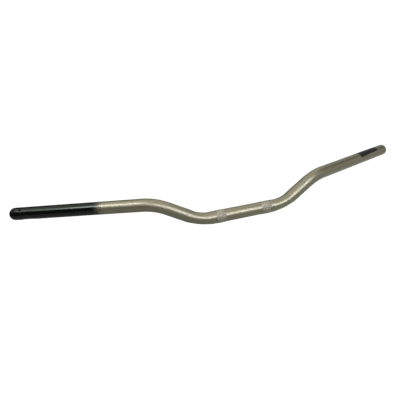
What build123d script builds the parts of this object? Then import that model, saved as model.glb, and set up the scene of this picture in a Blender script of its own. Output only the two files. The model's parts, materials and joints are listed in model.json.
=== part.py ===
from build123d import *
from math import asin, cos, degrees, radians, sin, sqrt
import os

# A bare motorcycle handlebar: one steel tube with four bends, a domed plug in its throttle end and an
# adhesive label near its clutch end, which is open. The origin is on the bar's axis, midway between the
# clamp bands. +X points to the rider's left, +Y to the rear, towards the rider, and +Z up. The throttle
# side is at -X.

os.makedirs("parts", exist_ok=True)

# ---- driving dimensions, in millimetres and degrees ----

# Tube
tube_diameter = 22.2
tube_wall = 2.0
end_chamfer = 0.3

# Shape of one half, from corner to corner of the axis; the bends round these corners off
centre_half = 77.5
riser_run = 71.1
riser_back = 8.9
rise = 39.2
grip_run = 231.3
grip_back = 105.6
lower_bend_radius = 86.0
upper_bend_radius = 75.0

# Knurled clamp bands, rolled up out of the tube
band_centre = 41.9
band_width = 15.2
band_height = 0.4
band_ramp = 0.6

# Crimp across the top of the throttle end, made by a round-nosed tool; angles are from straight up
crimp_from_end = 12.8
crimp_depth = 0.9
crimp_tool_radius = 1.1
crimp_front_angle = 50.0
crimp_rear_angle = 45.0

# Punch mark that the throttle housing is lined up with
punch_from_end = 163.0
punch_front_angle = 70.0
punch_radius = 0.8
punch_depth = 0.7

# Plug in the throttle end: a dome as wide as the tube, cut flat at its tip, on a shank that fills the
# bore, with an M8 x 1.25 blind thread for a bar-end weight
dome_height = 9.5
shank_length = 30.0
shank_chamfer = 0.8
thread_minor_diameter = 6.65
thread_depth = 25.0
drill_tip_height = 2.0
countersink = 1.2
groove_width = 3.0
groove_depth = 1.1

# Adhesive label on top of the clutch-side grip zone
label_from_end = 34.6
label_length = 70.0
label_half_angle = 65.0
label_thickness = 0.15
label_corner_radius = 2.5
label_skew = 1.2

# ---- worked out from them ----

tube_radius = tube_diameter / 2
bore_radius = tube_radius - tube_wall
upper_corner = (centre_half + riser_run, riser_back, rise)
tip = (upper_corner[0] + grip_run, riser_back + grip_back, rise)

# At each end, local Z runs out of the bar along the grip's axis and local X points up
clutch_end = Plane(origin=tip, x_dir=(0, 0, 1), z_dir=(grip_run, grip_back, 0))
throttle_end = Plane(origin=(-tip[0], tip[1], tip[2]), x_dir=(0, 0, 1), z_dir=(-grip_run, grip_back, 0))


def axial_plane(end, angle):
    """Plane through a grip's axis. Local X is radial, at the angle from straight up, and local Y runs
    out of the bar. On the throttle side a negative angle is towards the front."""
    radial = end.x_dir * cos(radians(angle)) + end.y_dir * sin(radians(angle))
    return Plane(origin=end.origin, x_dir=radial, z_dir=radial.cross(end.z_dir))


def grip_axis(end):
    """A grip's centreline, pointing out of the bar."""
    return Axis(end.origin, end.z_dir)


# ---- bar tube ----

corners = [
    (-tip[0], tip[1], tip[2]),
    (-upper_corner[0], upper_corner[1], upper_corner[2]),
    (-centre_half, 0, 0),
    (centre_half, 0, 0),
    upper_corner,
    tip,
]
bend_radii = [upper_bend_radius, lower_bend_radius, lower_bend_radius, upper_bend_radius]

with BuildPart() as bar_tube:
    with BuildLine() as centreline:
        FilletPolyline(*corners, radius=bend_radii)
    with BuildSketch(throttle_end):
        Circle(tube_radius)
        Circle(bore_radius, mode=Mode.SUBTRACT)
    sweep(path=centreline.line)
    end_faces = bar_tube.faces().filter_by(GeomType.PLANE)
    chamfer(end_faces.edges(), length=end_chamfer)

    # Knurled clamp bands, with a short ramp at each edge
    for side in (-1, 1):
        with BuildSketch(Plane.XY):
            with BuildLine():
                Polyline(
                    (side * (band_centre - band_width / 2), bore_radius + tube_wall / 2),
                    (side * (band_centre - band_width / 2), tube_radius),
                    (side * (band_centre - band_width / 2 + band_ramp), tube_radius + band_height),
                    (side * (band_centre + band_width / 2 - band_ramp), tube_radius + band_height),
                    (side * (band_centre + band_width / 2), tube_radius),
                    (side * (band_centre + band_width / 2), bore_radius + tube_wall / 2),
                    close=True,
                )
            make_face()
        revolve(axis=Axis.X)

    # The crimp: the tool raises a ridge inside the bore and leaves a dent of the same shape outside
    tool_offset = crimp_tool_radius - crimp_depth
    crimp_arc = crimp_front_angle + crimp_rear_angle
    for surface_radius, dent_mode in ((bore_radius, Mode.ADD), (tube_radius, Mode.SUBTRACT)):
        tool_centre = (surface_radius + tool_offset, -crimp_from_end)
        with BuildSketch(axial_plane(throttle_end, -crimp_front_angle)):
            with Locations(tool_centre):
                Circle(crimp_tool_radius)
        revolve(axis=grip_axis(throttle_end), revolution_arc=crimp_arc, mode=dent_mode)
        for dent_end in (-crimp_front_angle, crimp_rear_angle):
            with Locations(axial_plane(throttle_end, dent_end).from_local_coords(tool_centre)):
                Sphere(crimp_tool_radius, mode=dent_mode)

    # Punch mark, a small cone with its tip inwards
    punch_plane = axial_plane(throttle_end, -punch_front_angle)
    punch_surface = punch_plane.from_local_coords((tube_radius, -punch_from_end))
    with Locations(Plane(origin=punch_surface, z_dir=punch_plane.x_dir)):
        Cone(
            bottom_radius=0,
            top_radius=punch_radius,
            height=punch_depth,
            align=(Align.CENTER, Align.CENTER, Align.MAX),
            mode=Mode.SUBTRACT,
        )

bar_tube.part.label = "bar_tube"
export_step(bar_tube.part, "parts/bar_tube.step")

# ---- throttle end plug, turned in one piece; heights run out of the bar from the tube's end ----

thread_radius = thread_minor_diameter / 2
tip_radius = sqrt(tube_radius**2 - dome_height**2)
groove_outer = -crimp_from_end + groove_width / 2
groove_inner = -crimp_from_end - groove_width / 2
thread_bottom = dome_height - thread_depth

with BuildPart() as throttle_end_plug:
    with BuildSketch(axial_plane(throttle_end, 0)):
        with BuildLine():
            CenterArc((0, 0), tube_radius, 0, degrees(asin(dome_height / tube_radius)))
            Polyline(
                (tip_radius, dome_height),
                (thread_radius + countersink, dome_height),
                (thread_radius, dome_height - countersink),
                (thread_radius, thread_bottom),
                (0, thread_bottom - drill_tip_height),
                (0, -shank_length),
                (bore_radius - shank_chamfer, -shank_length),
                (bore_radius, -shank_length + shank_chamfer),
                (bore_radius, groove_inner),
                (bore_radius - groove_depth, groove_inner),
                (bore_radius - groove_depth, groove_outer),
                (bore_radius, groove_outer),
                (bore_radius, 0),
                (tube_radius, 0),
            )
        make_face()
    revolve(axis=grip_axis(throttle_end))

throttle_end_plug.part.label = "throttle_end_plug"
export_step(throttle_end_plug.part, "parts/throttle_end_plug.step")

# ---- label, a thin film wrapped over the top of the tube, put on slightly askew ----

label_centre = axial_plane(clutch_end, 0).from_local_coords((0, -label_from_end - label_length / 2))
label_width = 2 * (tube_radius + label_thickness) * sin(radians(label_half_angle))

with BuildPart() as marking_label:
    with BuildSketch(Plane(origin=label_centre, x_dir=clutch_end.x_dir, z_dir=clutch_end.z_dir)):
        Circle(tube_radius + label_thickness)
        Circle(tube_radius, mode=Mode.SUBTRACT)
    extrude(amount=label_length, both=True)
    with BuildSketch(Plane(origin=label_centre, x_dir=clutch_end.z_dir, z_dir=(0, 0, 1))):
        RectangleRounded(label_length, label_width, label_corner_radius, rotation=label_skew)
    extrude(amount=tube_diameter, mode=Mode.INTERSECT)

marking_label.part.label = "marking_label"
export_step(marking_label.part, "parts/marking_label.step")
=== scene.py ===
import json
from collections import namedtuple
from math import asin, cos, pi, radians, sin, tan

import bmesh
import bpy
import numpy as np
from mathutils import Matrix, Vector


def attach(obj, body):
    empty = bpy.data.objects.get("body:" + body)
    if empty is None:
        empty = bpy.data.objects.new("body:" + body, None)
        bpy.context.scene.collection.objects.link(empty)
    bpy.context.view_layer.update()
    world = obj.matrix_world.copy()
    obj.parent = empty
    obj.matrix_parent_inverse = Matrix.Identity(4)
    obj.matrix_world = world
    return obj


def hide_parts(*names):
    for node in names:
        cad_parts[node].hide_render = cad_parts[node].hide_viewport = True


# A bare motorcycle handlebar: a bent, painted steel tube with two knurled clamp bands, a black throttle
# zone, a domed plug in its throttle end and a film label. Everything is in metres, in the frame's axes:
# +X to the rider's left, +Y to the rear, +Z up, and the throttle end at -X.

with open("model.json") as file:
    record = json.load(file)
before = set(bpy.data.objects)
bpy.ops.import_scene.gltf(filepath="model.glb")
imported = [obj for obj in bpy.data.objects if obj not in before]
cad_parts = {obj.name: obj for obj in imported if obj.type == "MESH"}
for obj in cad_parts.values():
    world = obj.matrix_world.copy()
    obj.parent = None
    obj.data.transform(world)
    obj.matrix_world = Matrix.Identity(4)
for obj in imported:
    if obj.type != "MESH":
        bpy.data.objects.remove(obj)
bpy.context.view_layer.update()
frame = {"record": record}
mounts = {m["name"]: m for m in frame["record"]["mounts"]}

# ---- dimensions ----
# Lengths and places are those of the CAD parts. The crimp and the punch mark are cut deeper and wider
# than there, so that they show from a distance.

MM = 0.001

# Tube
TUBE_RADIUS = mounts["throttle_grip"]["dims"]["r_mm"] * MM
BORE_RADIUS = mounts["clutch_end_bore"]["dims"]["r_mm"] * MM
END_ROUND = 0.3 * MM

# Corners of its axis at +X, from the middle of the bar out, rounded off by the two bends
CORNERS = np.array([(0, 0, 0), (77.5, 0, 0), (148.6, 8.9, 39.2), (379.9, 114.5, 39.2)]) * MM
LOWER_BEND_RADIUS = 86.0 * MM
UPPER_BEND_RADIUS = 75.0 * MM

# The lower bends squash the tube. The first two are shares of its radius, and the third is a share of
# the bend's length, over which it comes and goes.
BEND_FLATTENING = 0.08
BEND_WIDENING = 0.03
BEND_RAMP_SHARE = 0.3

# Knurled bands
BAND_CENTRE = 41.9 * MM
BAND_WIDTH = 15.2 * MM
BAND_RAMP = 0.6 * MM
KNURL_CREST = 0.4 * MM
KNURL_ROOT = -0.08 * MM
KNURL_STARTS = 18         # grooves round the tube, each way
KNURL_UNCUT = 1.5         # uncut height of the diamonds, before they are cut off flat at 1
SHALLOW_GROOVE = 0.35     # share of the uncut height that the grooves of one direction stop at

# Crimp, with angles from straight up, and the ridge that it raises in the bore
CRIMP_FROM_END = 12.8 * MM
CRIMP_DEPTH = 1.4 * MM
CRIMP_HALF_WIDTH = 1.5 * MM
CRIMP_BLUNTNESS = 0.8
CRIMP_FRONT = radians(50)
CRIMP_REAR = radians(-45)
RIDGE_HEIGHT = 0.9 * MM

# Behind the crimp the tube is drawn in, to a place further along where it has its full size again
NECK_DEPTH = 0.30 * MM
NECK_DEPTH_CHANGE = 0.20 * MM
NECK_RAMP_IN = 1.5 * MM
NECK_RAMP_OUT = 15.0 * MM
NECK_END = 40.0 * MM

# Punch mark, with a rim of raised metal; the rim's place and width are shares of the mark's radius
PUNCH_FROM_END = 163.0 * MM
PUNCH_ANGLE = radians(70)
PUNCH_RADIUS = 1.3 * MM
PUNCH_DEPTH = 0.8 * MM
PUNCH_RIM_HEIGHT = 0.06 * MM
PUNCH_RIM_PLACE = 1.25
PUNCH_RIM_WIDTH = 0.22

# Plug in the throttle end
DOME_HEIGHT = 9.5 * MM
DOME_TIP_EASE = 0.012     # angles, in radians, by which the dome's arc stops short of its tip's edge
DOME_FOOT_EASE = 0.015    # and of the tube's end
SHANK_LENGTH = 30.0 * MM
SHANK_CHAMFER = 0.8 * MM
GROOVE_DEPTH = 1.1 * MM
GROOVE_HALF_WIDTH = 1.5 * MM
PLUG_SOFT_EDGE = 0.15 * MM
JOINT_GAP = 0.02 * MM     # between the dome and the tube's end
THREAD_MINOR = mounts["throttle_end_thread"]["dims"]["r_mm"] * MM
THREAD_DEPTH = 0.675 * MM
THREAD_PITCH = 1.25 * MM
THREAD_LENGTH = 25.0 * MM
THREAD_CREST_SHARE = 0.22
THREAD_FLANK_SHARE = 0.62
COUNTERSINK = 1.2 * MM
DRILL_TIP = 2.0 * MM

# Label. It is skewed on the tube's surface, which looks like half as much from above.
LABEL_FROM_END = 34.6 * MM
LABEL_LENGTH = 70.0 * MM
LABEL_HALF_ANGLE = radians(65)
LABEL_THICKNESS = 0.15 * MM
LABEL_CORNER = 2.5 * MM
LABEL_EDGE_BEVEL = 0.05 * MM
LABEL_SKEW = radians(2.5)

# ---- fineness of the meshes ----

PLAIN_SIDES = 144
BORE_SIDES = 72
PLUG_SIDES = 144
KNURL_STEPS = 16          # round the tube from one groove to the next, and as many along it
KNURL_RINGS = 62          # along a band
FINE_SIDES = KNURL_STARTS * KNURL_STEPS

HALF_TUBE_STEPS = 27
BEND_STEPS = 20
ROUNDING_ANGLES = [radians(a) for a in (0, 22.5, 45, 67.5, 90)]
NECK_RINGS = np.arange(15.5 * MM, 42.0 * MM, 1.6 * MM)
CRIMP_RINGS = CRIMP_FROM_END + np.linspace(-1.6 * MM, 1.6 * MM, 17)
RIDGE_RINGS = CRIMP_FROM_END + np.linspace(-1.8 * MM, 1.8 * MM, 9)
PUNCH_RINGS = PUNCH_FROM_END + np.linspace(-1.8 * MM, 1.8 * MM, 19)
ROOM_FOR_FINE_RINGS = 0.9 * MM
LEAST_RING_SPACING = 0.6 * MM

TIP_RINGS = 9
DOME_RINGS = 26
THREAD_STEPS = 10         # in one pitch

LABEL_CORNER_STEPS = 6
LABEL_STEP_ALONG = 2.5 * MM
LABEL_STEP_ACROSS = 0.5 * MM

# ---- the tube's path ----

Run = namedtuple("Run", "length start direction bend_radius inward")
Section = namedtuple("Section", "centre along up front to_bend_centre squash")
Ring = namedtuple("Ring", "distance sides inner radius knurl")


def unit(v):
    return v / np.linalg.norm(v)


def make_runs():
    """The half path at +X, from the middle out: straight runs, of bend radius 0, and bends, with inward
    pointing at the bend's centre where it starts."""
    runs = []
    start = CORNERS[0]
    for i, radius in ((1, LOWER_BEND_RADIUS), (2, UPPER_BEND_RADIUS)):
        before = unit(CORNERS[i] - CORNERS[i - 1])
        after = unit(CORNERS[i + 1] - CORNERS[i])
        turn = np.arccos(before @ after)
        setback = radius * tan(turn / 2)
        bend_start = CORNERS[i] - before * setback
        inward = unit(after - before * (before @ after))
        runs.append(Run(np.linalg.norm(bend_start - start), start, before, 0.0, None))
        runs.append(Run(radius * turn, bend_start, before, radius, inward))
        start = CORNERS[i] + after * setback
    runs.append(Run(np.linalg.norm(CORNERS[3] - start), start, unit(CORNERS[3] - CORNERS[2]), 0.0, None))
    return runs


RUNS = make_runs()
LOWER_BEND = 1            # its number among the runs
RUN_ENDS = np.cumsum([run.length for run in RUNS])
HALF_LENGTH = sum(run.length for run in RUNS)
LENGTH = 2 * HALF_LENGTH


def smooth(x):
    """0 below 0, 1 above 1, and an S between."""
    x = np.clip(x, 0, 1)
    return x * x * (3 - 2 * x)


def section_at(distance):
    """The tube's cross-section that far from the throttle end. Along points to the clutch end, and
    squash says how much of the bends' flattening it has, from 0 to 1."""
    from_middle = distance - HALF_LENGTH
    x = min(abs(from_middle), HALF_LENGTH)
    number = int(min(np.searchsorted(RUN_ENDS, x), len(RUNS) - 1))
    run = RUNS[number]
    x -= RUN_ENDS[number] - run.length
    squash = 0.0
    if run.bend_radius:
        angle = x / run.bend_radius
        centre = run.start + run.bend_radius * (sin(angle) * run.direction + (1 - cos(angle)) * run.inward)
        along = cos(angle) * run.direction + sin(angle) * run.inward
        to_bend_centre = cos(angle) * run.inward - sin(angle) * run.direction
        if number == LOWER_BEND:
            ramp = BEND_RAMP_SHARE * run.length
            squash = float(smooth(x / ramp) * smooth((run.length - x) / ramp))
    else:
        centre = run.start + run.direction * x
        along = run.direction
        to_bend_centre = np.array((0.0, 0, 1))
    if from_middle < 0:
        centre = centre * (-1, 1, 1)
        along = along * (1, -1, -1)
        to_bend_centre = to_bend_centre * (-1, 1, 1)
    up = unit(np.array((0, 0, 1.0)) - along[2] * along)
    return Section(centre, along, up, np.cross(along, up), to_bend_centre, squash)


def ring_points(distance, angles, radii, overhang=0.0):
    """Points round the section at that distance from the throttle end, moved along the axis by the
    overhang. Angles run from up to the front."""
    section = section_at(distance)
    offset = radii[:, None] * (np.cos(angles)[:, None] * section.up + np.sin(angles)[:, None] * section.front)
    if section.squash:
        inward = section.to_bend_centre
        across = np.cross(section.along, inward)
        offset += BEND_WIDENING * section.squash * (offset @ across)[:, None] * across
        offset -= BEND_FLATTENING * section.squash * (offset @ inward)[:, None] * inward
    return section.centre + section.along * overhang + offset


def unrolled(distance, angles, radii):
    """The same points on a straight tube, which is the space that the materials are laid out in."""
    return np.stack([np.full(len(angles), distance), radii * np.cos(angles), radii * np.sin(angles)], 1)


# ---- surface details of the tube, as changes of its radius ----

def crimp_depth(distance, angles):
    """How deep the crimp is there: a groove over the top of the tube with round ends."""
    x = (distance - CRIMP_FROM_END) / CRIMP_HALF_WIDTH
    past_end = np.maximum(0, np.maximum(angles - CRIMP_FRONT, CRIMP_REAR - angles))
    reach = np.clip(np.hypot(x, past_end * TUBE_RADIUS / CRIMP_HALF_WIDTH), 0, 1)
    return CRIMP_DEPTH * (0.5 + 0.5 * np.cos(pi * reach)) ** CRIMP_BLUNTNESS


def punch_depth(distance, angles):
    """How deep the punch mark is there. On its rim this is below 0."""
    x = distance - PUNCH_FROM_END
    y = (angles - PUNCH_ANGLE) * TUBE_RADIUS
    reach = np.hypot(x, y) / PUNCH_RADIUS
    rim = PUNCH_RIM_HEIGHT * np.exp(-((reach - PUNCH_RIM_PLACE) / PUNCH_RIM_WIDTH) ** 2)
    return PUNCH_DEPTH * np.clip(1 - reach ** 2, 0, 1) - rim


def neck_depth(distance, angles):
    """How far the tube is drawn in behind the crimp, where it grips the plug: most of all underneath."""
    depth = NECK_DEPTH - NECK_DEPTH_CHANGE * np.cos(angles)
    begins = smooth((distance - CRIMP_FROM_END) / NECK_RAMP_IN)
    ends = smooth((NECK_END - distance) / NECK_RAMP_OUT)
    return depth * begins * ends


def triangle_wave(x):
    """0 at whole numbers and 1 halfway between them."""
    return 1 - abs(2 * (x % 1) - 1)


def knurl_height(ring_number, side_numbers):
    """Height, from 0 to 1, of the knurl's diamonds on the mesh grid of a band."""
    shallow = triangle_wave((side_numbers + ring_number) / KNURL_STEPS) + SHALLOW_GROOVE
    deep = triangle_wave((side_numbers - ring_number) / KNURL_STEPS)
    return np.clip(KNURL_UNCUT * np.minimum(shallow, deep), 0, 1)


def ring_surface(ring, side_numbers, angles):
    """Radii of a ring's points, and from 0 to 1 how high on a diamond of the knurl they are, how far
    onto a knurled band and how deep in the crimp or the punch mark."""
    signed = (angles + pi) % (2 * pi) - pi
    radii = np.full(ring.sides, ring.radius)
    crest = np.zeros(ring.sides)
    band = np.zeros(ring.sides)
    low = np.zeros(ring.sides)
    crimp = crimp_depth(ring.distance, signed)
    if ring.inner:
        radii -= np.clip(crimp, 0, RIDGE_HEIGHT)
    else:
        punch = punch_depth(ring.distance, signed)
        radii -= crimp + punch + neck_depth(ring.distance, signed)
        low = np.clip(crimp / CRIMP_DEPTH + punch / PUNCH_DEPTH, 0, 1)
    if ring.knurl is not None:
        from_edge = min(ring.knurl, KNURL_RINGS - ring.knurl) * BAND_WIDTH / KNURL_RINGS
        band += min(1, from_edge / BAND_RAMP)
        crest = knurl_height(ring.knurl, side_numbers) * band
        radii += (KNURL_CREST - KNURL_ROOT) * crest + KNURL_ROOT * band
    return radii, crest, band, low


# ---- tube mesh ----

def plain_distances(fine):
    """Where the tube's outside has its plain rings, clear of the fine ones and of its ends."""
    wanted = list(NECK_RINGS)
    from_middle = list(np.linspace(0, HALF_LENGTH, HALF_TUBE_STEPS + 1)[:-1])
    for run, end in zip(RUNS, RUN_ENDS):
        if run.bend_radius:
            from_middle += list(np.linspace(end - run.length, end, BEND_STEPS + 1))
    for x in from_middle:
        wanted += [HALF_LENGTH - x, HALF_LENGTH + x]
    kept = []
    for x in sorted(set(wanted)):
        inside_ends = ROOM_FOR_FINE_RINGS < x < LENGTH - ROOM_FOR_FINE_RINGS
        clear = all(not y - ROOM_FOR_FINE_RINGS < x < y + ROOM_FOR_FINE_RINGS for y in fine)
        if inside_ends and clear and (not kept or x - kept[-1] > LEAST_RING_SPACING):
            kept.append(x)
    return kept


def mirrored(rings):
    """The same rings at the other end of the tube, in the opposite order."""
    return [ring._replace(distance=LENGTH - ring.distance) for ring in reversed(rings)]


def tube_rings():
    """Every ring of the tube in order round its wall: the outside from the throttle end to the clutch
    end, the end face, the bore back again and the other end face. Knurl is a ring's number on its
    knurled band, or None."""
    knurl_numbers = {}
    for centre in (HALF_LENGTH - BAND_CENTRE, HALF_LENGTH + BAND_CENTRE):
        band_highlight = np.linspace(centre - BAND_WIDTH / 2, centre + BAND_WIDTH / 2, KNURL_RINGS + 1)
        knurl_numbers.update({x: number for number, x in enumerate(band_highlight)})
    fine = [*CRIMP_RINGS, *PUNCH_RINGS, *knurl_numbers]
    plain = plain_distances(fine)

    outside = [Ring(x, PLAIN_SIDES, False, TUBE_RADIUS, None) for x in plain]
    outside += [Ring(x, FINE_SIDES, False, TUBE_RADIUS, knurl_numbers.get(x)) for x in fine]
    outside.sort(key=lambda ring: ring.distance)

    outer_edge, inner_edge = [], []
    for a in ROUNDING_ANGLES:
        x, cut = END_ROUND * (1 - sin(a)), END_ROUND * (1 - cos(a))
        outer_edge.append(Ring(x, PLAIN_SIDES, False, TUBE_RADIUS - cut, None))
        inner_edge.append(Ring(x, PLAIN_SIDES, True, BORE_RADIUS + cut, None))
    outer_edge.reverse()

    near_end, past_plug, near_far_end = 3.0 * MM, 60.0 * MM, LENGTH - 10.0 * MM
    in_bore = [near_end, *RIDGE_RINGS, NECK_END, LENGTH - near_end]
    in_bore += [x for x in plain[::3] if past_plug < x < near_far_end]
    bore = [Ring(x, BORE_SIDES, True, BORE_RADIUS, None) for x in sorted(in_bore, reverse=True)]

    # At the throttle end the inner edge's rings run from the end face back into the bore. That folds the
    # wall over there, where the plug hides it.
    clutch_end = mirrored(outer_edge) + mirrored(inner_edge)
    return outer_edge + outside + clutch_end + bore + inner_edge[::-1]


def stitch(faces, a, b):
    """Faces from ring a to ring b. One may have a whole number of times more sides than the other."""
    if len(a) < len(b):
        k = len(b) // len(a)
        for i in range(len(a)):
            inner = [b[(i * k + m) % len(b)] for m in range(k + 1)]
            faces.append([a[(i + 1) % len(a)], a[i], *inner])
    else:
        k = len(a) // len(b)
        for i in range(len(b)):
            inner = [a[(i * k + m) % len(a)] for m in range(k, -1, -1)]
            faces.append([*inner, b[i], b[(i + 1) % len(b)]])


def stitch_knurl(faces, a, b, ring_number):
    """The same between two rings of a knurled band. Each square is cut in two along the nearer groove."""
    for i in range(len(a)):
        j = (i + 1) % len(a)
        from_shallow = triangle_wave((i + ring_number + 1) / KNURL_STEPS)
        from_deep = triangle_wave((i - ring_number) / KNURL_STEPS)
        if from_shallow < from_deep:
            faces += [[a[j], a[i], b[i]], [a[j], b[i], b[j]]]
        else:
            faces += [[a[j], a[i], b[j]], [a[i], b[i], b[j]]]


def add_piece(mesh):
    """An object of the mesh's name that rides on the bar."""
    piece = bpy.data.objects.new(mesh.name, mesh)
    bpy.context.scene.collection.objects.link(piece)
    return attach(piece, "root")


def make_piece(name, points, faces):
    mesh = bpy.data.meshes.new(name)
    mesh.from_pydata([tuple(p) for p in points], [], faces)
    mesh.validate()
    mesh.update()
    return add_piece(mesh)


def store(piece, name, kind, values):
    attribute = piece.data.attributes.new(name, kind, "POINT")
    field = "vector" if kind == "FLOAT_VECTOR" else "value"
    attribute.data.foreach_set(field, np.asarray(values, np.float32).ravel())


def shade(piece, sharp_degrees):
    piece.data.shade_smooth()
    piece.data.set_sharp_from_angle(angle=radians(sharp_degrees))


def build_tube():
    """The tube, and the material slot of each of its faces: 0 outside and 1 in the bore."""
    rings = tube_rings()
    points, straight, crests, bands, lows, corners = [], [], [], [], [], []
    for ring in rings:
        side_numbers = np.arange(ring.sides)
        angles = 2 * pi * side_numbers / ring.sides
        radii, crest, band, low = ring_surface(ring, side_numbers, angles)
        corners.append(len(points) + side_numbers)
        points.extend(ring_points(ring.distance, angles, radii))
        straight.extend(unrolled(ring.distance, angles, radii))
        crests.extend(crest)
        bands.extend(band)
        lows.extend(low)

    faces, slots = [], []
    for i, ring in enumerate(rings):
        j = (i + 1) % len(rings)
        if ring.knurl is not None and rings[j].knurl == ring.knurl + 1:
            stitch_knurl(faces, corners[i], corners[j], ring.knurl)
        else:
            stitch(faces, corners[i], corners[j])
        slot = 1 if ring.inner and rings[j].inner else 0
        slots += [slot] * (len(faces) - len(slots))

    piece = make_piece("painted_tube", points, faces)
    store(piece, "straight", "FLOAT_VECTOR", straight)
    store(piece, "crest", "FLOAT", crests)
    store(piece, "band", "FLOAT", bands)
    store(piece, "low", "FLOAT", lows)
    return piece, slots


# ---- plug in the throttle end ----

def thread_share(x):
    """Internal thread's profile: 0 on its crest and 1 at its root, once per pitch."""
    x = abs((x % 1) - 0.5) * 2
    return np.clip((x - THREAD_CREST_SHARE) / THREAD_FLANK_SHARE, 0, 1)


def plug_profile():
    """The plug's outline as (radius, distance in from the tube's end), over the dome from its flat tip,
    along the shank and across its back."""
    tip_angle = asin(DOME_HEIGHT / TUBE_RADIUS)
    mouth = THREAD_MINOR + COUNTERSINK
    flat_tip = TUBE_RADIUS * cos(tip_angle) - PLUG_SOFT_EDGE - mouth
    outline = [(mouth + share * flat_tip, -DOME_HEIGHT) for share in np.linspace(0, 1, TIP_RINGS)]
    for a in np.linspace(tip_angle - DOME_TIP_EASE, DOME_FOOT_EASE, DOME_RINGS):
        outline.append((TUBE_RADIUS * cos(a), -TUBE_RADIUS * sin(a)))

    soft, groove_floor = PLUG_SOFT_EDGE, BORE_RADIUS - GROOVE_DEPTH
    groove_low, groove_high = CRIMP_FROM_END - GROOVE_HALF_WIDTH, CRIMP_FROM_END + GROOVE_HALF_WIDTH
    outline += [(TUBE_RADIUS - soft, -JOINT_GAP), (BORE_RADIUS + soft, 0.0), (BORE_RADIUS, soft)]
    outline += [(BORE_RADIUS, groove_low - soft), (BORE_RADIUS - soft, groove_low)]
    outline += [(groove_floor, groove_low + soft), (groove_floor, groove_high - soft)]
    outline += [(BORE_RADIUS - soft, groove_high), (BORE_RADIUS, groove_high + soft)]
    outline += [(BORE_RADIUS, SHANK_LENGTH - SHANK_CHAMFER), (BORE_RADIUS - SHANK_CHAMFER, SHANK_LENGTH)]
    return outline


def build_plug():
    """A turned plug: dome, shank with a groove for the crimp, and a blind thread with a real helix."""
    angles = 2 * pi * np.arange(PLUG_SIDES) / PLUG_SIDES
    points, straight, faces, rings = [], [], [], []

    def add_ring(radii, depth):
        rings.append(len(points) + np.arange(PLUG_SIDES))
        points.extend(ring_points(0.0, angles, radii, depth))
        straight.extend(unrolled(depth, angles, radii))

    mouth, bottom = -DOME_HEIGHT, THREAD_LENGTH - DOME_HEIGHT
    just_inside = mouth + 0.01 * MM
    for depth in np.arange(bottom, just_inside, -THREAD_PITCH / THREAD_STEPS):
        turn = depth / THREAD_PITCH - angles / (2 * pi)
        fade = float(smooth((bottom - depth) / THREAD_PITCH))
        threaded = THREAD_MINOR + THREAD_DEPTH * thread_share(turn) * fade
        countersunk = THREAD_MINOR + COUNTERSINK - (depth - mouth)
        add_ring(np.maximum(threaded, countersunk), depth)
    for radius, depth in plug_profile():
        add_ring(np.full(PLUG_SIDES, radius), depth)
    for a, b in zip(rings, rings[1:]):
        stitch(faces, a, b)

    # The drilled tip at the bottom of the hole, and the back of the shank
    end = section_at(0.0)
    for ring, depth, reverse in ((rings[0], bottom + DRILL_TIP, False), (rings[-1], SHANK_LENGTH, True)):
        middle = len(points)
        points.append(end.centre + end.along * depth)
        straight.append((depth, 0, 0))
        for i in range(PLUG_SIDES):
            corner = [ring[i], ring[(i + 1) % PLUG_SIDES], middle]
            faces.append(corner[::-1] if reverse else corner)
    piece = make_piece("domed_end_plug", points, faces)
    store(piece, "straight", "FLOAT_VECTOR", straight)
    shade(piece, sharp_degrees=32)
    return piece


# ---- label ----

def cut_across(flat, place, normal):
    geometry = flat.verts[:] + flat.edges[:] + flat.faces[:]
    bmesh.ops.bisect_plane(flat, geom=geometry, plane_co=place, plane_no=normal)


def flat_label(half_length, half_width):
    """The film before it is stuck on: a plate with round corners, divided finely so that it can wrap."""
    outline = []
    for corner, (sx, sy) in enumerate(((1, 1), (-1, 1), (-1, -1), (1, -1))):
        for step in range(LABEL_CORNER_STEPS + 1):
            a = radians(90 * (corner + step / LABEL_CORNER_STEPS))
            outline.append((sx * (half_length - LABEL_CORNER) + LABEL_CORNER * cos(a),
                            sy * (half_width - LABEL_CORNER) + LABEL_CORNER * sin(a), 0))
    flat = bmesh.new()
    flat.faces.new([flat.verts.new(p) for p in outline])
    for y in np.arange(-half_width + LABEL_STEP_ACROSS, half_width, LABEL_STEP_ACROSS):
        cut_across(flat, (0, y, 0), (0, 1, 0))
    for x in np.arange(-half_length + LABEL_STEP_ALONG, half_length, LABEL_STEP_ALONG):
        cut_across(flat, (x, 0, 0), (1, 0, 0))
    for item in bmesh.ops.extrude_face_region(flat, geom=flat.faces[:])["geom"]:
        if isinstance(item, bmesh.types.BMVert):
            item.co.z = LABEL_THICKNESS
    bmesh.ops.recalc_face_normals(flat, faces=flat.faces[:])
    rim = [e for e in flat.edges if all(v.co.z > 0 for v in e.verts) and e.calc_face_angle(0) > 1]
    bmesh.ops.bevel(flat, geom=rim, offset=LABEL_EDGE_BEVEL, segments=2, affect="EDGES", profile=0.5)
    return flat


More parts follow.
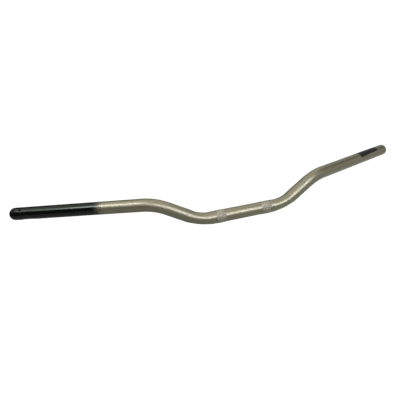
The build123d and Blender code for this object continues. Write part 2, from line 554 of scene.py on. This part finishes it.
def build_label():
    """A flat film with round corners, wrapped over the tube, a little askew."""
    outer_radius = TUBE_RADIUS + LABEL_THICKNESS
    half_length = LABEL_LENGTH / 2
    half_width = LABEL_HALF_ANGLE * outer_radius
    flat = flat_label(half_length, half_width)
    mesh = bpy.data.meshes.new("label_film")
    flat.to_mesh(mesh)
    flat.free()

    co = np.array([v.co for v in mesh.vertices])
    turn = np.array(((cos(LABEL_SKEW), sin(LABEL_SKEW)), (-sin(LABEL_SKEW), cos(LABEL_SKEW))))
    middle = LENGTH - LABEL_FROM_END - half_length
    wrapped = []
    for (x, y), z in zip(co[:, :2] @ turn, co[:, 2]):
        angle = np.array([-y / outer_radius])
        wrapped.append(ring_points(middle + x, angle, np.array([TUBE_RADIUS + z]))[0])
    mesh.vertices.foreach_set("co", np.array(wrapped, np.float32).ravel())
    mesh.update()

    piece = add_piece(mesh)
    from_rim = np.minimum(half_length - abs(co[:, 0]), half_width - abs(co[:, 1]))
    store(piece, "straight", "FLOAT_VECTOR", co)
    store(piece, "rim", "FLOAT", from_rim)
    shade(piece, sharp_degrees=40)
    return piece


# ---- materials: colours, and fineness of the patterns in repeats per metre ----

CHAMPAGNE_DARK = (0.240, 0.226, 0.142, 1)
CHAMPAGNE_LIGHT = (0.46, 0.44, 0.30, 1)
# Worn paint on the knurl's crests, and a painted highlight over the whole knurled band
WORN_AND_HIGHLIT_DARK = (0.62, 0.59, 0.47, 1)
WORN_AND_HIGHLIT_LIGHT = (0.78, 0.75, 0.62, 1)
# Painted shade in the knurl's grooves
KNURL_GROOVE_SHADE = (0.050, 0.045, 0.030, 1)
# Painted shade in the crimp and the punch mark
RECESS_SHADE = (0.012, 0.011, 0.010, 1)
BLACK_DARK = (0.0016, 0.0022, 0.0017, 1)
BLACK_LIGHT = (0.0040, 0.0050, 0.0042, 1)
BLACK_SHEEN = (0.84, 1.0, 0.89, 1)       # its reflections are slightly green
STEEL_DARK = (0.10, 0.098, 0.092, 1)
STEEL_LIGHT = (0.24, 0.235, 0.22, 1)
RUST = (0.13, 0.055, 0.022, 1)
ZINC = (0.55, 0.54, 0.50, 1)
ZINC_STAIN = (0.20, 0.17, 0.12, 1)
FILM_DARK = (0.009, 0.009, 0.009, 1)
FILM_LIGHT = (0.017, 0.017, 0.016, 1)
FILM_DUST = (0.16, 0.155, 0.14, 1)

CLOUDS = 16.0
GRAIN = 160.0
ORANGE_PEEL = 520.0
METAL_FLAKES = 2900.0
SPRAY_DOTS = 1500.0
BLOTCHES = 420.0
RUST_SPOTS = 240.0
TURNED_RINGS = 1 / (0.22 * MM)
RING_WANDER = 300.0
FILM_GRAIN = 1900.0
FILM_CLOUDS = 60.0

# The black zone, in distances from the throttle end: solid to the first place and thinning out to the
# second, with dots of overspray between the last two
SPRAY_SOLID_TO = 147.0 * MM
SPRAY_FADED_AT = 165.0 * MM
SPRAY_DOTS_FROM = 155.0 * MM
SPRAY_DOTS_TO = 174.5 * MM
SPRAY_DOTS_CHANCE = 0.60
SPRAY_WOBBLE = 5.0 * MM


def add(tree, kind, values=(), **settings):
    """Adds a node. values gives input sockets, by number or name, a constant or another node's output."""
    node = tree.nodes.new("ShaderNode" + kind)
    for key, value in settings.items():
        setattr(node, key, value)
    for key, value in dict(values).items():
        if isinstance(value, bpy.types.NodeSocket):
            tree.links.new(value, node.inputs[key])
        else:
            node.inputs[key].default_value = value
    return node


def calc(tree, operation, a, b=0.0):
    return add(tree, "Math", {0: a, 1: b}, operation=operation).outputs[0]


def weighted(tree, value, weight, plus):
    """value * weight + plus"""
    return add(tree, "Math", {0: value, 1: weight, 2: plus}, operation="MULTIPLY_ADD").outputs[0]


def spread(tree, value, low, high):
    """Maps low..high to 0..1 with an S-shaped, clamped curve."""
    values = {"Value": value, "From Min": low, "From Max": high, "To Min": 0.0, "To Max": 1.0}
    return add(tree, "MapRange", values, interpolation_type="SMOOTHSTEP").outputs[0]


def mix(tree, factor, a, b):
    return add(tree, "Mix", {0: factor, 6: a, 7: b}, data_type="RGBA").outputs[2]


def mix_numbers(tree, factor, a, b):
    return add(tree, "Mix", {0: factor, 2: a, 3: b}).outputs[0]


def noise(tree, place, scale, detail=3.0, roughness=0.5):
    values = {"Vector": place, "Scale": scale, "Detail": detail, "Roughness": roughness}
    return add(tree, "TexNoise", values).outputs[0]


def streaks(tree, place, along, across, detail, roughness=0.5):
    """Noise with different numbers of repeats per metre along the tube and across it."""
    scales = {0: place, 1: (along, across, across)}
    stretched = add(tree, "VectorMath", scales, operation="MULTIPLY").outputs[0]
    return noise(tree, stretched, 1.0, detail, roughness)


def bump(tree, height, distance, strength, normal=None):
    values = {"Strength": strength, "Distance": distance, "Height": height}
    if normal is not None:
        values["Normal"] = normal
    return add(tree, "Bump", values).outputs[0]


def new_material(name):
    material = bpy.data.materials.new(name)
    material.use_nodes = True
    tree = material.node_tree
    return material, tree, tree.nodes["Principled BSDF"]


def stored(tree, name, output="Fac"):
    """A value that the mesh carries at each of its points."""
    return add(tree, "Attribute", attribute_name=name).outputs[output]


def link(tree, shader, **inputs):
    for name, value in inputs.items():
        tree.links.new(value, shader.inputs[name.replace("_", " ")])


def black_coat(tree, grain):
    return mix(tree, grain, BLACK_DARK, BLACK_LIGHT)


def champagne_coat(tree, cloud, grain, flake, rub, crest, band):
    """Metallic paint in large soft clouds, fine grain and flake. On the knurl it is worn off the crests,
    and the whole band is lightened, a painted highlight for the light its facets catch. The grooves are
    darkened with painted shade."""
    tone = weighted(tree, cloud, 0.16, -0.08)
    tone = weighted(tree, grain, 0.12, tone)
    tone = weighted(tree, flake, 0.16, tone)
    paint = mix(tree, calc(tree, "ADD", tone, 0.35), CHAMPAGNE_DARK, CHAMPAGNE_LIGHT)
    # The whole band is lightened, a painted highlight for the light the knurl's facets catch. The crests are
    # also worn bare.
    band_highlight = calc(tree, "MULTIPLY", band, 0.27)
    worn_and_highlit = weighted(tree, spread(tree, crest, 0.35, 1.0), 0.62, band_highlight)
    paint = mix(tree, worn_and_highlit, paint, mix(tree, rub, WORN_AND_HIGHLIT_DARK, WORN_AND_HIGHLIT_LIGHT))
    # The knurl's grooves are darkened with painted shade
    groove = calc(tree, "MULTIPLY", band, spread(tree, crest, 0.6, 0.1))
    return mix(tree, calc(tree, "MULTIPLY", groove, 0.95), paint, KNURL_GROOVE_SHADE)


def black_spray(tree, place):
    """Where the black zone is: 1 up to its sprayed edge, and 1 in dots that thin out past it."""
    from_end = add(tree, "SeparateXYZ", {0: place}).outputs[0]
    wobble = weighted(tree, noise(tree, place, BLOTCHES, 4.0, 0.65), SPRAY_WOBBLE, -SPRAY_WOBBLE / 2)
    at = calc(tree, "ADD", from_end, wobble)
    solid = spread(tree, at, SPRAY_FADED_AT, SPRAY_SOLID_TO)
    thinning = {"Value": at, "From Min": SPRAY_DOTS_FROM, "From Max": SPRAY_DOTS_TO,
                "To Min": SPRAY_DOTS_CHANCE, "To Max": 0.0}
    chance = add(tree, "MapRange", thinning).outputs[0]
    cells = add(tree, "TexVoronoi", {"Vector": place, "Scale": SPRAY_DOTS}).outputs["Distance"]
    dots = spread(tree, calc(tree, "SUBTRACT", chance, cells), -0.08, 0.12)
    return calc(tree, "MAXIMUM", solid, dots)


def paint_material():
    """Champagne grey metallic under clear coat, gloss black from the throttle end to the throttle's
    inner edge, and painted shade in the crimp and the punch mark."""
    material, tree, shader = new_material("champagne_and_black_paint")
    place = stored(tree, "straight", "Vector")
    crest = stored(tree, "crest")
    band = stored(tree, "band")
    cloud = noise(tree, place, CLOUDS, 4.0)
    grain = noise(tree, place, GRAIN, 3.0, 0.6)
    peel = noise(tree, place, ORANGE_PEEL, 2.0)
    cells = add(tree, "TexVoronoi", {"Vector": place, "Scale": METAL_FLAKES})
    flake = add(tree, "SeparateColor", {0: cells.outputs["Color"]}).outputs[0]
    rub = streaks(tree, place, along=14.0, across=700.0, detail=4.0, roughness=0.65)

    black = black_spray(tree, place)
    # Painted shade darkens the crimp and the punch mark. There the paint is also neither metallic nor clear
    # coated.
    recess_shade = calc(tree, "MULTIPLY", spread(tree, stored(tree, "low"), 0.25, 0.70), 0.94)
    unshaded = calc(tree, "SUBTRACT", 1.0, recess_shade)
    champagne = champagne_coat(tree, cloud, grain, flake, rub, crest, band)
    colour = mix(tree, black, champagne, black_coat(tree, grain))
    colour = mix(tree, recess_shade, colour, RECESS_SHADE)

    satin = weighted(tree, cloud, 0.08, 0.40)
    satin = weighted(tree, rub, 0.06, satin)
    satin = weighted(tree, band, 0.08, satin)
    rough = mix_numbers(tree, black, satin, weighted(tree, rub, 0.06, 0.14))
    metal = mix_numbers(tree, calc(tree, "MAXIMUM", black, recess_shade), 0.85, 0.0)

    # The clear coat lies on the champagne paint, and is mostly worn off the bands. The black paint
    # reflects by itself, so it keeps its green sheen.
    clear = calc(tree, "SUBTRACT", weighted(tree, band, -0.9, 1.0), black)
    coat = calc(tree, "MULTIPLY", calc(tree, "MAXIMUM", clear, 0.0), unshaded)
    specular = calc(tree, "MULTIPLY", calc(tree, "MULTIPLY", black, 0.5), unshaded)
    shader.inputs["Specular Tint"].default_value = BLACK_SHEEN
    shader.inputs["Coat Roughness"].default_value = 0.27
    rounded = bump(tree, peel, 0.008 * MM, 0.12)
    sparkle = bump(tree, flake, 0.003 * MM, 0.20, rounded)
    link(tree, shader, Base_Color=colour, Roughness=rough, Metallic=metal, Normal=sparkle)
    link(tree, shader, Specular_IOR_Level=specular, Coat_Weight=coat, Coat_Normal=rounded)
    return material


def bore_material():
    """Oiled bare steel of the tube's inside, with streaks of light rust."""
    material, tree, shader = new_material("bore_steel")
    place = stored(tree, "straight", "Vector")
    streak = streaks(tree, place, along=30.0, across=420.0, detail=5.0, roughness=0.6)
    rust = spread(tree, noise(tree, place, RUST_SPOTS, 5.0, 0.7), 0.52, 0.68)
    colour = mix(tree, rust, mix(tree, streak, STEEL_DARK, STEEL_LIGHT), RUST)
    rough = weighted(tree, rust, 0.35, 0.42)
    metal = weighted(tree, rust, -0.8, 0.9)
    drawn = bump(tree, streak, 0.06 * MM, 0.5)
    link(tree, shader, Base_Color=colour, Roughness=rough, Metallic=metal, Normal=drawn)
    return material


def plug_material():
    """The same gloss black as the throttle zone, over a turned surface, with bare zinc in the thread."""
    material, tree, shader = new_material("black_coated_turned_steel")
    place = stored(tree, "straight", "Vector")
    parts = add(tree, "SeparateXYZ", {0: place})
    squares = [calc(tree, "POWER", parts.outputs[i], 2.0) for i in (1, 2)]
    radius = calc(tree, "SQRT", calc(tree, "ADD", *squares))
    grain = noise(tree, place, GRAIN, 3.0, 0.6)
    peel = noise(tree, place, ORANGE_PEEL, 2.0)
    stain = spread(tree, noise(tree, place, BLOTCHES, 4.0, 0.65), 0.50, 0.66)
    wander = weighted(tree, noise(tree, place, RING_WANDER, 2.0), 0.1 * MM, radius)
    rings = calc(tree, "SINE", calc(tree, "MULTIPLY", wander, 2 * pi * TURNED_RINGS))

    thread_edge = weighted(tree, grain, 1.2 * MM, THREAD_MINOR + 0.2 * MM)
    inside = spread(tree, calc(tree, "SUBTRACT", radius, thread_edge), 0.4 * MM, 0.0)
    zinc = mix(tree, stain, ZINC, ZINC_STAIN)
    colour = mix(tree, inside, black_coat(tree, grain), zinc)
    rough = weighted(tree, grain, 0.10, 0.24)
    rough = weighted(tree, stain, 0.08, rough)
    turned = bump(tree, weighted(tree, rings, 0.35, peel), 0.02 * MM, 0.3)
    shader.inputs["Specular Tint"].default_value = BLACK_SHEEN
    link(tree, shader, Base_Color=colour, Roughness=rough, Metallic=inside, Normal=turned)
    return material


def label_material():
    """Satin black film with a fine grain, and dust along its cut edge."""
    material, tree, shader = new_material("satin_black_film")
    place = stored(tree, "straight", "Vector")
    from_rim = stored(tree, "rim")
    grain = noise(tree, place, FILM_GRAIN, 3.0, 0.6)
    cloud = noise(tree, place, FILM_CLOUDS, 3.0)
    ripple = streaks(tree, place, along=90.0, across=260.0, detail=2.0)
    near_rim = spread(tree, from_rim, 1.1 * MM, 0.0)
    dust = calc(tree, "MULTIPLY", near_rim, spread(tree, grain, 0.42, 0.62))
    colour = mix(tree, cloud, FILM_DARK, FILM_LIGHT)
    colour = mix(tree, calc(tree, "MULTIPLY", dust, 0.5), colour, FILM_DUST)
    rough = weighted(tree, grain, 0.16, 0.36)
    uneven = bump(tree, weighted(tree, ripple, 1.5, grain), 0.03 * MM, 0.4)
    link(tree, shader, Base_Color=colour, Roughness=rough, Normal=uneven)
    return material


# ---- build the object ----

tube, tube_slots = build_tube()
tube.data.materials.append(paint_material())
tube.data.materials.append(bore_material())
tube.data.polygons.foreach_set("material_index", tube_slots)
shade(tube, sharp_degrees=24)
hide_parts("bar_tube")

plug = build_plug()
plug.data.materials.append(plug_material())
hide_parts("throttle_end_plug")

label = build_label()
label.data.materials.append(label_material())
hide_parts("marking_label")

# ---- stage: a pale floor and backdrop, soft lights ----

FLOOR_HEIGHT = -1.0
FLOOR_SIZE = 9.0
BACKDROP_RADIUS = 4.4
STAGE_WHITE = (0.9, 0.9, 0.9, 1)
WORLD_STRENGTH = 0.03


def stage_material():
    material, tree, shader = new_material("pale_stage")
    shader.inputs["Base Color"].default_value = STAGE_WHITE
    shader.inputs["Roughness"].default_value = 0.9
    shader.inputs["Emission Color"].default_value = (1, 1, 1, 1)
    shader.inputs["Emission Strength"].default_value = 1.0
    return material


def camera_only(thing):
    """Shown to the camera, without lighting the object from below."""
    thing.visible_diffuse = False
    thing.visible_glossy = False
    thing.visible_transmission = False
    thing.visible_shadow = False


pale = stage_material()
bpy.ops.mesh.primitive_grid_add(x_subdivisions=8, y_subdivisions=8, size=FLOOR_SIZE,
                                location=(0, 0, FLOOR_HEIGHT))
floor = bpy.context.object
floor.name = "floor"
bpy.ops.mesh.primitive_uv_sphere_add(segments=48, ring_count=24, radius=BACKDROP_RADIUS, location=(0, 0, 0))
backdrop = bpy.context.object
backdrop.name = "backdrop"
for surface in (floor, backdrop):
    surface.data.materials.append(pale)
    camera_only(surface)

world = bpy.data.worlds.new("studio")
world.use_nodes = True
world.node_tree.nodes["Background"].inputs["Color"].default_value = (1.0, 1.0, 1.0, 1)
world.node_tree.nodes["Background"].inputs["Strength"].default_value = WORLD_STRENGTH
bpy.context.scene.world = world
bpy.context.scene.view_settings.view_transform = "Standard"

NEUTRAL = (1.0, 1.0, 1.0)
COOL = (1.0, 0.99, 1.08)
COOLER = (1.0, 0.99, 1.12)
WARM = (1.0, 0.97, 0.90)
WARMER = (1.0, 0.94, 0.88)
FAINT_GREEN = (0.98, 1.0, 0.97)

# Name, place, the place it is aimed at, width, height, power in watts and tint
SOFTBOXES = (
    ("key_left", (-0.87, -0.45, 0.92), (-0.22, 0.03, 0.04), 0.50, 0.30, 4.4, COOL),
    ("key_far_left", (-1.14, -0.15, 0.92), (-0.32, 0.06, 0.04), 0.5, 0.45, 1.6, NEUTRAL),
    ("front_left", (-0.20, -1.00, 0.66), (-0.13, 0.0, 0.03), 0.45, 0.30, 3.4, COOLER),
    ("front_right", (0.42, -1.10, 0.46), (0.02, 0, 0.0), 0.5, 0.26, 3.9, COOLER),
    ("front_right_above", (0.50, -1.00, 0.78), (0.05, 0, 0.0), 0.5, 0.4, 2.2, NEUTRAL),
    ("fill_right", (1.35, -0.30, 0.20), (0.2, 0.03, 0.03), 1.1, 1.0, 1.2, WARM),
    ("ceiling", (-0.2, 0.3, 1.8), (-0.2, 0.3, 0.0), 3.2, 2.4, 17.5, WARMER),
    ("back_right", (0.99, 1.09, 0.90), (0.3, 0.08, 0.04), 1.4, 1.2, 1.7, WARM),
    ("table", (0.3, 0.0, -0.60), (0.3, 0.0, 0.0), 4.4, 3.0, 9.8, FAINT_GREEN),
    ("table_right", (0.95, 0.0, -0.59), (0.95, 0.0, 0.0), 1.5, 2.0, 1.3, FAINT_GREEN),
)


def softbox(name, location, target, width, height, power, tint):
    data = bpy.data.lights.new(name, "AREA")
    data.shape = "RECTANGLE"
    data.size = width
    data.size_y = height
    data.energy = power
    data.color = tint
    light = bpy.data.objects.new(name, data)
    light.location = location
    aim = Vector(target) - Vector(location)
    light.rotation_mode = "QUATERNION"
    light.rotation_quaternion = aim.to_track_quat("-Z", "Y")
    bpy.context.scene.collection.objects.link(light)
    light.visible_camera = False


for settings in SOFTBOXES:
    softbox(*settings)

# ---- camera ----

CAMERA_LENS = 36.18                             # in mm, on a 36 mm wide sensor
CAMERA_PLACE = (-0.23455, -0.63142, 0.21581)
CAMERA_LOOK = (0.23774, 0.9337, -0.26745)       # direction that it looks in
CAMERA_RIGHT = (0.95471, -0.27539, -0.11263)    # direction that is to the right in its view

camera_data = bpy.data.cameras.new("camera")
camera_data.lens = CAMERA_LENS
camera_data.sensor_width = 36
camera_data.clip_start = 0.01
camera_data.clip_end = 50
camera = bpy.data.objects.new("camera", camera_data)
look = Vector(CAMERA_LOOK).normalized()
right = Vector(CAMERA_RIGHT)
right = (right - right.dot(look) * look).normalized()
facing = Matrix((right, right.cross(look), -look)).transposed().to_4x4()
camera.matrix_world = Matrix.Translation(CAMERA_PLACE) @ facing
bpy.context.scene.collection.objects.link(camera)
bpy.context.scene.camera = camera
